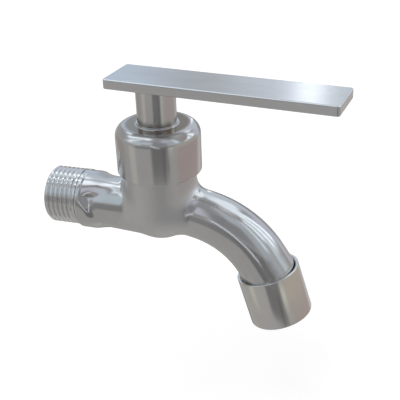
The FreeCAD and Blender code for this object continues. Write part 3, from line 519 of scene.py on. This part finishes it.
def surface_net(field, low, high, step):
    """Points and quads of a field's zero surface, one point in each cell that it crosses."""
    axes = [np.arange(a, b + step, step) for a, b in zip(low, high)]
    x, y, z = (g.ravel() for g in np.meshgrid(*axes, indexing="ij"))
    shape = tuple(len(a) for a in axes)
    value = field(x, y, z).reshape(shape)
    inside = value < 0
    corners = [(i, j, k) for i in (0, 1) for j in (0, 1) for k in (0, 1)]
    cells = tuple(n - 1 for n in shape)

    def at(grid, corner):
        return grid[tuple(slice(c, c + n) for c, n in zip(corner, cells))]

    count = sum(at(inside, c).astype(np.int8) for c in corners)
    crossed = (count > 0) & (count < 8)
    spots = np.argwhere(crossed)
    total = np.zeros((len(spots), 3))
    hits = np.zeros(len(spots))
    for first in corners:
        for axis in range(3):
            if first[axis]:
                continue
            second = tuple(c + (i == axis) for i, c in enumerate(first))
            va = value[tuple((spots + first).T)]
            vb = value[tuple((spots + second).T)]
            cut = (va < 0) != (vb < 0)
            share = np.where(cut, va / np.where(cut, va - vb, 1), 0)
            place = spots + np.array(first, float)
            place[:, axis] += share
            total += np.where(cut[:, None], place, 0)
            hits += cut
    points = total / hits[:, None] * step + np.array(low)
    number = np.full(cells, -1)
    number[crossed] = np.arange(len(spots))
    faces = []
    for axis in range(3):
        u, v = (axis + 1) % 3, (axis + 2) % 3
        before = [slice(None)] * 3
        after = [slice(None)] * 3
        before[axis], after[axis] = slice(0, -1), slice(1, None)
        edge = inside[tuple(before)] != inside[tuple(after)]
        where = np.argwhere(edge)
        where = where[(where[:, u] > 0) & (where[:, v] > 0)]
        where = where[(where[:, u] < cells[u]) & (where[:, v] < cells[v])]
        leaving = inside[tuple(where.T)]
        ring = []
        for du, dv in ((1, 1), (0, 1), (0, 0), (1, 0)):
            cell = where.copy()
            cell[:, u] -= du
            cell[:, v] -= dv
            ring.append(number[tuple(cell.T)])
        quads = np.stack(ring, 1)
        faces.append(np.where(leaving[:, None], quads, quads[:, ::-1]))
    return points, np.concatenate(faces)


def settle(field, points, rounds=4):
    """Move points onto the zero surface, and give its outward normals there."""
    for _ in range(rounds):
        x, y, z = points.T.copy()
        move = np.clip(field(x, y, z), -SETTLE_LIMIT, SETTLE_LIMIT)
        points = points - (slope_of(field, x, y, z) * move).T
    x, y, z = points.T.copy()
    return points, slope_of(field, x, y, z, NORMAL_STEP).T


def make_casting():
    """The cast body's surface, from the collar to the outlet thread."""
    points, faces = surface_net(body_field, CASTING_LOW, CASTING_HIGH, CASTING_STEP)
    points, normals = settle(body_field, points)
    piece = mesh_piece("cast_body", points, faces, normals=normals)
    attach(piece, "tap")
    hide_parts("tap_body")
    return piece


def thread_radius(x, turn):
    """The pipe thread's rounded ridge, as a helix that runs out before the collar."""
    phase = (x - THREAD_FIRST) / THREAD_PITCH - turn / (2 * math.pi)
    phase = np.abs(phase - np.round(phase)) * 2
    groove = 1 - np.clip((phase - THREAD_CREST) / THREAD_FLANK, 0, 1)
    groove = groove * groove * (3 - 2 * groove)
    fade = np.clip((THREAD_LAST + THREAD_RUN_OUT - x) / THREAD_RUN_OUT, 0, 1)
    return THREAD_R - THREAD_DEPTH * groove * fade


def make_thread():
    """The threaded end: bore and end face as plain rings, then the ridges ring by ring."""
    around = np.linspace(0, 2 * math.pi, RING_STEPS, endpoint=False)
    inside = [
        (COLLAR_START, INLET_BORE_R),
        (INLET_BORE_CHAMFER, INLET_BORE_R),
        (0.0, INLET_BORE_R + INLET_BORE_CHAMFER),
        (0.0, THREAD_R - THREAD_CHAMFER - THREAD_FACE_EDGE),
    ]
    rings = [(x, np.full(RING_STEPS, r)) for x, r in inside]
    for x in np.arange(THREAD_STEP / 2, COLLAR_START, THREAD_STEP):
        chamfer = THREAD_R - THREAD_CHAMFER + x
        rings.append((x, np.minimum(thread_radius(x, around), chamfer)))
    rings.append((COLLAR_START, np.full(RING_STEPS, THREAD_R)))
    points = []
    for x, radius in rings:
        along = np.full(RING_STEPS, x)
        points.append(np.stack([along, -radius * np.sin(around), radius * np.cos(around)], 1))
    faces = grid_faces(len(rings), RING_STEPS)
    piece = mesh_piece("inlet_thread", np.concatenate(points), faces, sharp=40.0)
    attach(piece, "tap")
    return piece


def upright_at(x):
    return Matrix.Translation(Vector((x, 0, 0)) * MM)


def outlet_place():
    """The sleeve's rim, with Z running down the outlet."""
    first_sin, last_sin = math.sin(SPOUT_DIP), math.sin(SPOUT_END_DIP)
    first_cos, last_cos = math.cos(SPOUT_DIP), math.cos(SPOUT_END_DIP)
    end_x = SPOUT_BEND_START_X + SPOUT_BEND_R * (last_sin - first_sin)
    end_z = SPOUT_BEND_START_Z - SPOUT_BEND_R * (first_cos - last_cos)
    rim = Vector((end_x - SLEEVE_COVER * last_cos, 0, end_z + SLEEVE_COVER * last_sin))
    turn = Matrix.Rotation(math.pi / 2 + SPOUT_END_DIP, 4, "Y")
    return Matrix.Translation(rim * MM) @ turn


def make_bonnet():
    """Skirt, side, round shoulder, flat top and raised ring, then the inside back down."""
    skirt = CHAMBER_R + BONNET_SKIRT_GAP
    skirt_top = CHAMBER_TOP_Z + BONNET_SKIRT_GAP
    rim = (BONNET_R - BONNET_RIM, BONNET_LOW_Z + BONNET_RIM)
    shoulder = (BONNET_R - BONNET_SHOULDER, BONNET_TOP_Z - BONNET_SHOULDER)
    foot = (BONNET_NECK_R + BONNET_NECK_BLEND, BONNET_TOP_Z + BONNET_NECK_BLEND)
    neck = (BONNET_NECK_R - BONNET_NECK_EDGE, BONNET_NECK_Z - BONNET_NECK_EDGE)
    roof = BONNET_TOP_Z - BONNET_ROOF
    inner = BONNET_THREAD_R + THREAD_CLEARANCE
    outline = [
        (skirt, skirt_top),
        (skirt, BONNET_LOW_Z + BONNET_SKIRT_CHAMFER),
        (skirt + BONNET_SKIRT_CHAMFER, BONNET_LOW_Z),
    ]
    outline += arc(rim, BONNET_RIM, -90, 0, 5)
    outline += arc(shoulder, BONNET_SHOULDER, 0, 90, 25)
    outline += arc(foot, BONNET_NECK_BLEND, -90, -172, 8)
    outline += arc(neck, BONNET_NECK_EDGE, 0, 90, 4)
    outline += [
        (BONNET_BORE_R, BONNET_NECK_Z),
        (BONNET_BORE_R, roof),
        (BONNET_POCKET_R, roof),
        (BONNET_POCKET_R, BONNET_THREAD_TOP_Z),
        (inner, BONNET_THREAD_TOP_Z),
        (inner, skirt_top),
    ]
    piece = lathe("turned_bonnet", outline, upright_at(VALVE_X))
    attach(piece, "tap")
    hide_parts("bonnet")
    return piece


def make_sleeve():
    """Rim pinched in on the spout, side, end with its lip, then the bore back to the thread."""
    inner = SLEEVE_R - SLEEVE_WALL
    pinch = inner - SLEEVE_PINCH
    hollow = (inner + SLEEVE_INNER_ROUND, SLEEVE_INNER_ROUND)
    rim = (SLEEVE_R - SLEEVE_RIM_ROUND, SLEEVE_RIM_ROUND)
    end = (SLEEVE_R - SLEEVE_END_ROUND, SLEEVE_LENGTH - SLEEVE_END_ROUND)
    lip = inner - SLEEVE_LIP
    lip_top = SLEEVE_LENGTH - SLEEVE_LIP_HEIGHT
    screwed = OUTLET_THREAD_R + THREAD_CLEARANCE
    spout_end = SLEEVE_COVER + SPOUT_TAIL
    outline = [(pinch, SLEEVE_PINCH_TO), (pinch, SLEEVE_PINCH_FROM)]
    outline += arc(hollow, SLEEVE_INNER_ROUND, 200, 270, 3)
    outline += arc(rim, SLEEVE_RIM_ROUND, -90, 0, 5)
    outline += arc(end, SLEEVE_END_ROUND, 0, 90, 5)
    outline += [
        (lip, SLEEVE_LENGTH),
        (lip, lip_top),
        (inner, lip_top),
        (inner, spout_end),
        (screwed, spout_end),
        (screwed, spout_end - OUTLET_THREAD_LENGTH),
        (inner, spout_end - OUTLET_THREAD_LENGTH),
    ]
    piece = lathe("turned_sleeve", outline, outlet_place())
    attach(piece, "tap")
    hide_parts("outlet_sleeve")
    return piece


# Materials: all from nodes, along the object's own axes


def new_material(name, colour, roughness, metallic=0.0):
    """A material with its plain values on the shader, its node tree and the shader."""
    material = bpy.data.materials.new(name)
    material.use_nodes = True
    shader = material.node_tree.nodes["Principled BSDF"]
    shader.inputs["Base Color"].default_value = (*colour, 1.0)
    shader.inputs["Roughness"].default_value = roughness
    shader.inputs["Metallic"].default_value = metallic
    return material, material.node_tree, shader


def add_node(tree, kind, inputs=None, **settings):
    """A node with its settings; its inputs are values or the sockets that feed them."""
    node = tree.nodes.new(kind)
    for key, value in settings.items():
        setattr(node, key, value)
    for key, value in (inputs or {}).items():
        if isinstance(value, bpy.types.NodeSocket):
            tree.links.new(value, node.inputs[key])
        else:
            node.inputs[key].default_value = value
    return node


def object_space(tree, kind="Object"):
    """The object's own coordinates in metres, or its own Normal."""
    return add_node(tree, "ShaderNodeTexCoord").outputs[kind]


def part_of(tree, vector, axis):
    """One coordinate of a vector: 0, 1 or 2."""
    return add_node(tree, "ShaderNodeSeparateXYZ", {0: vector}).outputs[axis]


def noise(tree, vector, stretch, detail=3.0, roughness=0.55):
    """Noise with so many grains to the metre along each axis."""
    mapped = add_node(tree, "ShaderNodeMapping", {"Vector": vector, "Scale": stretch}).outputs[0]
    inputs = {"Vector": mapped, "Scale": 1.0, "Detail": detail, "Roughness": roughness}
    return add_node(tree, "ShaderNodeTexNoise", inputs).outputs[0]


def ranged(tree, value, source, target=(0.0, 1.0), shape="LINEAR"):
    """A value moved from one range to another, and kept inside the second."""
    inputs = {"Value": value, "From Min": source[0], "From Max": source[1]}
    inputs.update({"To Min": target[0], "To Max": target[1]})
    return add_node(tree, "ShaderNodeMapRange", inputs, interpolation_type=shape).outputs[0]


def spread(tree, value, low, high):
    """A noise value stretched over a range."""
    return ranged(tree, value, NOISE_SPAN, (low, high))


def ramp(tree, value, steps):
    """A colour that runs through the (place, colour) steps."""
    node = add_node(tree, "ShaderNodeValToRGB", {0: value})
    elements = node.color_ramp.elements
    for index, (place, colour) in enumerate((steps[0], steps[-1])):
        elements[index].position = place
        elements[index].color = (*colour, 1.0)
    for place, colour in steps[1:-1]:
        elements.new(place).color = (*colour, 1.0)
    return node.outputs[0]


def two_tones(tree, value, first, second):
    """A colour that a noise value moves from the first tone to the second."""
    return ramp(tree, value, tuple(zip(NOISE_SPAN, (first, second))))


def mixed(tree, share, first, second, blend="MIX"):
    """Two colours mixed by a share; each is a tone or the socket that feeds it."""
    inputs = {0: share, 6: first, 7: second}
    for key in (6, 7):
        if isinstance(inputs[key], tuple):
            inputs[key] = (*inputs[key], 1.0)
    settings = {"data_type": "RGBA", "blend_type": blend}
    return add_node(tree, "ShaderNodeMix", inputs, **settings).outputs[2]


def toned(tones, factor):
    """Tones multiplied by a factor, part by part."""
    return [tuple(part * share for part, share in zip(tone, factor)) for tone in tones]


def bump(tree, height, depth, below=None):
    """A bump whose noise stands for a relief of that depth in millimetres."""
    inputs = {"Height": height, "Distance": depth * MM, "Strength": 1.0}
    if below is not None:
        inputs["Normal"] = below
    return add_node(tree, "ShaderNodeBump", inputs).outputs[0]


def ring_space(tree, axis_x=0.0):
    """Distance from the upright axis at that x, and height along it: the lathe's own space."""
    axis = {0: object_space(tree), 1: (-axis_x * MM, 0, 0)}
    shift = add_node(tree, "ShaderNodeVectorMath", axis).outputs[0]
    parts = add_node(tree, "ShaderNodeSeparateXYZ", {0: shift}).outputs
    level = add_node(tree, "ShaderNodeCombineXYZ", {0: parts[0], 1: parts[1]}).outputs[0]
    away = add_node(tree, "ShaderNodeVectorMath", {0: level}, operation="LENGTH").outputs["Value"]
    return add_node(tree, "ShaderNodeCombineXYZ", {0: away, 2: parts[2]}).outputs[0]


def satin_share(tree, axis_x):
    """1 on the wall round the upright axis at that x and 0 away from it; wider low down."""
    place = ring_space(tree, axis_x)
    low_down = tuple(height * MM for height in SATIN_WIDER_FADE)
    wider = ranged(tree, part_of(tree, place, 2), low_down, (0.0, SATIN_WIDER * MM))
    away = {0: part_of(tree, place, 0), 1: wider}
    away = add_node(tree, "ShaderNodeMath", away, operation="SUBTRACT").outputs[0]
    return ranged(tree, away, tuple(r * MM for r in SATIN_FADE), shape="SMOOTHSTEP")


def cast_finish(name, low, high, satin_round=None, tone=WHITE):
    """Investment casting, linished and polished: faint waves, a fine grain and uneven gloss.

    It stays satin round an upright axis at satin_round, where a polishing belt can't reach.
    """
    material, tree, shader = new_material(name, STEEL, low, 1.0)
    place = object_space(tree)
    cloud = noise(tree, place, (70, 70, 70))
    colour = two_tones(tree, cloud, *toned((STEEL_DARK, STEEL_LIGHT), tone))
    gloss = spread(tree, noise(tree, place, (420, 420, 420), 4.0), low, high)
    if satin_round is not None:
        near = satin_share(tree, satin_round)
        rough = {0: near, 1: SATIN_ROUGHNESS, 2: gloss}
        gloss = add_node(tree, "ShaderNodeMath", rough, operation="MULTIPLY_ADD").outputs[0]
        colour = mixed(tree, near, colour, SATIN_TONE)
    tree.links.new(colour, shader.inputs["Base Color"])
    tree.links.new(gloss, shader.inputs["Roughness"])
    waves = bump(tree, noise(tree, place, (130, 210, 210), 1.0), WAVE_DEPTH)
    grain = bump(tree, noise(tree, place, (900, 2600, 2600), 2.0), GRAIN_DEPTH, waves)
    tree.links.new(grain, shader.inputs["Normal"])
    return material


def turned_finish(name, axis_x, low, high, blur, tones=(STEEL_DARK, STEEL_LIGHT), face=False):
    """Turned and polished metal: fine rings that draw its reflections out along the axis.

    With face, the bonnet's flat top and its round shoulder get a darker colour: painted shade in
    place of a darker reflection there.
    """
    material, tree, shader = new_material(name, STEEL, low, 1.0)
    rings = noise(tree, ring_space(tree, axis_x), (2600, 1, 2600), 2.0)
    cloud = noise(tree, object_space(tree), (60, 60, 60))
    colour = two_tones(tree, cloud, *tones)
    if face:
        # Painted shade: the colour darkens by radius on the flat top and less on the shoulder, in
        # place of a darker reflection
        away = part_of(tree, ring_space(tree, axis_x), 0)
        top_shade = ramp(tree, ranged(tree, away, (0.0, BONNET_R * MM)), PAINTED_TOP_SHADE_STEPS)
        colour = mixed(tree, 1.0, colour, top_shade, "MULTIPLY")
    tree.links.new(colour, shader.inputs["Base Color"])
    tree.links.new(spread(tree, rings, low, high), shader.inputs["Roughness"])
    tree.links.new(bump(tree, rings, RING_DEPTH), shader.inputs["Normal"])
    around = add_node(tree, "ShaderNodeTangent", direction_type="RADIAL", axis="Z")
    tree.links.new(around.outputs[0], shader.inputs["Tangent"])
    shader.inputs["Anisotropic"].default_value = blur
    shader.inputs["Anisotropic Rotation"].default_value = QUARTER_TURN
    return material


def brushed_finish(name, heading, low, high, blur):
    """Flat bar brushed along its length, at that heading, with painted light below and a painted
    highlight on its upper edges.
    """
    material, tree, shader = new_material(name, STEEL_PALE, low, 1.0)
    lengthways = {"Vector": object_space(tree), "Angle": -heading}
    turned = add_node(tree, "ShaderNodeVectorRotate", lengthways, rotation_type="Z_AXIS")
    hairs = noise(tree, turned.outputs[0], (160, 5200, 5200), 3.0)
    cloud = noise(tree, turned.outputs[0], (45, 120, 120))
    colour = two_tones(tree, cloud, STEEL, STEEL_BRIGHT)
    upward = part_of(tree, object_space(tree, "Normal"), 2)
    # Painted light: the underside is made paler, in place of light from below
    underside_light = ranged(tree, upward, PAINTED_UNDERSIDE_LIGHT_FADE)
    colour = mixed(tree, underside_light, colour, PAINTED_UNDERSIDE_LIGHT)
    # Painted highlight: the upward-tilted rounded edges are made paler, in place of the bright
    # line they catch
    edge_highlight = ramp(tree, ranged(tree, upward, (0.0, 1.0)), PAINTED_EDGE_HIGHLIGHT_STEPS)
    colour = mixed(tree, edge_highlight, colour, PAINTED_EDGE_HIGHLIGHT)
    tree.links.new(colour, shader.inputs["Base Color"])
    tree.links.new(spread(tree, hairs, low, high), shader.inputs["Roughness"])
    tree.links.new(bump(tree, hairs, HAIR_DEPTH), shader.inputs["Normal"])
    across = {0: -math.sin(heading), 1: math.cos(heading)}
    across = {"Vector": add_node(tree, "ShaderNodeCombineXYZ", across).outputs[0]}
    spaces = {"vector_type": "VECTOR", "convert_from": "OBJECT", "convert_to": "WORLD"}
    across = add_node(tree, "ShaderNodeVectorTransform", across, **spaces)
    tree.links.new(across.outputs[0], shader.inputs["Tangent"])
    shader.inputs["Anisotropic"].default_value = blur
    return material


def plain_finish(name, dark, light, low, high, grains, depth, metallic=0.0):
    """Two near tones, an uneven gloss and a fine relief, for the small pieces."""
    material, tree, shader = new_material(name, light, low, metallic)
    place = object_space(tree)
    cloud = noise(tree, place, (grains / 8,) * 3)
    fine = noise(tree, place, (grains,) * 3)
    tree.links.new(two_tones(tree, cloud, dark, light), shader.inputs["Base Color"])
    tree.links.new(spread(tree, fine, low, high), shader.inputs["Roughness"])
    tree.links.new(bump(tree, fine, depth), shader.inputs["Normal"])
    return material


# Nodes, then the finish's name, tones, roughness, grains to the metre, relief and metalness
PLAIN_FINISHES = {
    ("cartridge_gasket", "seat_seal", "spindle_rings", "outlet_washer"): (
        "black_rubber", (0.02, 0.02, 0.02), (0.035, 0.035, 0.035), 0.5, 0.7, 2500, 0.01
    ),
    ("guide_bush", "slip_washer", "aerator_housing", "flow_insert"): (
        "white_plastic", (0.80, 0.81, 0.82), (0.86, 0.87, 0.88), 0.3, 0.42, 1500, 0.004
    ),
    ("fixed_disc", "moving_disc"): (
        "lapped_ceramic", (0.88, 0.88, 0.86), (0.92, 0.92, 0.9), 0.12, 0.2, 3000, 0.001
    ),
    ("grub_screw",): (
        "screw_steel", (0.42, 0.42, 0.42), (0.5, 0.5, 0.5), 0.25, 0.4, 4000, 0.003, 1.0
    ),
    ("circlip",): (
        "spring_steel", (0.25, 0.25, 0.25), (0.32, 0.32, 0.32), 0.3, 0.45, 3000, 0.003, 1.0
    ),
    ("filter_screen",): (
        "screen_steel", (0.5, 0.5, 0.5), (0.6, 0.6, 0.6), 0.25, 0.4, 3000, 0.003, 1.0
    ),
}


def dress(pieces):
    """Give every piece and every CAD node that shows its finish."""
    finishes = {
        "cast_body": cast_finish("cast_steel", 0.12, 0.18, satin_round=VALVE_X),
        "inlet_thread": cast_finish("threaded_steel", 0.07, 0.12, tone=THREAD_TONE),
        # the bonnet gets the painted shade on its top and shoulder
        "turned_bonnet": turned_finish("bonnet_steel", 0.0, 0.15, 0.21, 0.5, face=True),
        "turned_sleeve": turned_finish(
            "sleeve_steel", 0.0, 0.15, 0.2, 0.4, toned((STEEL_DARK, STEEL_LIGHT), SLEEVE_TONE)
        ),
        "handle_post": turned_finish("post_steel", VALVE_X, 0.17, 0.23, 0.5),
        "lever": brushed_finish("lever_steel", HANDLE_TURN, 0.19, 0.27, 0.6),
    }
    brass = turned_finish("machined_brass", VALVE_X, 0.18, 0.28, 0.6, (BRASS_DARK, BRASS))
    for name in ("cartridge_body", "spindle"):
        finishes[name] = brass
    for names, plain in PLAIN_FINISHES.items():
        finish = plain_finish(*plain)
        for name in names:
            finishes[name] = finish
    named = dict(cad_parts)
    named.update({piece.name: piece for piece in pieces})
    for name, finish in finishes.items():
        named[name].data.materials.clear()
        named[name].data.materials.append(finish)


# Studio: world, floor, lamp and the cards that the metal reflects


def seen_directly(tree):
    """1 for the camera's rays and for what metal and glass show, 0 for light on the object."""
    path = add_node(tree, "ShaderNodeLightPath")
    total = path.outputs["Is Camera Ray"]
    for other in ("Is Glossy Ray", "Is Transmission Ray"):
        both = {0: total, 1: path.outputs[other]}
        total = add_node(tree, "ShaderNodeMath", both, use_clamp=True).outputs[0]
    return total


def add_world():
    """White where it is seen, and dimmer as light on the tap."""
    world = bpy.data.worlds.new("studio")
    world.use_nodes = True
    tree = world.node_tree
    level = ranged(tree, seen_directly(tree), (0.0, 1.0), (WORLD_LIGHT, 1.0))
    background = tree.nodes["Background"]
    background.inputs["Color"].default_value = (*WHITE, 1.0)
    tree.links.new(level, background.inputs["Strength"])
    bpy.context.scene.world = world


def add_floor():
    """A pale floor below the tap, which takes its soft shadow."""
    half = FLOOR_SIZE / 2
    mesh = bpy.data.meshes.new("floor")
    corners = [(-half, -half), (half, -half), (half, half), (-half, half)]
    mesh.from_pydata([(x, y, FLOOR_Z) for x, y in corners], [], [(0, 1, 2, 3)])
    floor = bpy.data.objects.new("floor", mesh)
    bpy.context.scene.collection.objects.link(floor)
    material, tree, shader = new_material("floor", FLOOR_TONES[0], FLOOR_ROUGHNESS)
    paper = noise(tree, object_space(tree), (300, 300, 300))
    tree.links.new(two_tones(tree, paper, *FLOOR_TONES), shader.inputs["Base Color"])
    glow = {0: seen_directly(tree), 1: FLOOR_GLOW}
    glow = add_node(tree, "ShaderNodeMath", glow, operation="MULTIPLY").outputs[0]
    shader.inputs["Emission Color"].default_value = (*WHITE, 1.0)
    tree.links.new(glow, shader.inputs["Emission Strength"])
    mesh.materials.append(material)
    floor.visible_glossy = False


def add_lamp():
    """One wide, soft lamp from above."""
    light = bpy.data.lights.new("soft_key", "SUN")
    light.energy = LAMP_POWER
    light.angle = LAMP_SPREAD
    lamp = bpy.data.objects.new("soft_key", light)
    lamp.rotation_euler = LAMP_AIM.to_track_quat("-Z", "Y").to_euler()
    lamp.visible_glossy = False
    bpy.context.scene.collection.objects.link(lamp)


def card_cover(azimuth, elevation, card):
    """How far a card hides what is behind it, in each direction."""
    (turn, rise), size, lean, _, soft = card
    u = (azimuth - turn + 180) % 360 - 180
    v = elevation - rise
    tilt = math.radians(lean)
    u, v = u * math.cos(tilt) + v * math.sin(tilt), v * math.cos(tilt) - u * math.sin(tilt)
    cover = np.ones_like(u)
    for place, side in ((u, size[0]), (v, size[1])):
        if side < 360:
            share = np.clip((side / 2 - np.abs(place)) / soft, 0, 1)
            cover *= share * share * (3 - 2 * share)
    return cover


def add_cards():
    """The soft-edged cards as glowing points of a dome round the tap, which only gloss sees."""
    azimuth = np.linspace(-180, 180, DOME_COLUMNS, endpoint=False)
    elevation = np.linspace(-DOME_TOP, DOME_TOP, DOME_ROWS + 1)
    elevation, azimuth = np.meshgrid(elevation, azimuth, indexing="ij")
    colour = np.ones(azimuth.shape + (4,))
    colour[..., :3] = ROOM_GLOW
    for card in CARDS:
        cover = card_cover(azimuth, elevation, card)[..., None]
        colour[..., :3] += cover * (np.array(card[3]) - colour[..., :3])
    turn, rise = np.radians(azimuth), np.radians(elevation)
    level = np.cos(rise)
    points = np.stack([np.sin(turn) * level, -np.cos(turn) * level, np.sin(rise)], -1)
    points = points.reshape(-1, 3) * DOME_RADIUS + np.array(CAMERA_TARGET) * MM
    mesh = bpy.data.meshes.new("studio_cards")
    faces = grid_faces(DOME_ROWS + 1, DOME_COLUMNS, wrap_rows=False)
    mesh.from_pydata(points.tolist(), [], faces)
    mesh.attributes.new("glow", "FLOAT_COLOR", "POINT").data.foreach_set("color", colour.ravel())
    material = bpy.data.materials.new("studio_cards")
    material.use_nodes = True
    tree = material.node_tree
    tree.nodes.remove(tree.nodes["Principled BSDF"])
    glow = add_node(tree, "ShaderNodeAttribute", attribute_name="glow")
    lit = add_node(tree, "ShaderNodeEmission", {"Color": glow.outputs["Color"]})
    tree.links.new(lit.outputs[0], tree.nodes["Material Output"].inputs["Surface"])
    material.cycles.emission_sampling = "NONE"
    mesh.materials.append(material)
    cards = bpy.data.objects.new("studio_cards", mesh)
    bpy.context.scene.collection.objects.link(cards)
    cards.visible_camera = False
    cards.visible_diffuse = False
    cards.visible_transmission = False
    cards.visible_shadow = False
    cards.visible_volume_scatter = False


add_camera()
pieces = [make_casting(), make_thread(), make_bonnet(), make_sleeve()]
dress(pieces)
bpy.context.scene.view_settings.view_transform = "Standard"
add_world()
add_floor()
add_lamp()
add_cards()
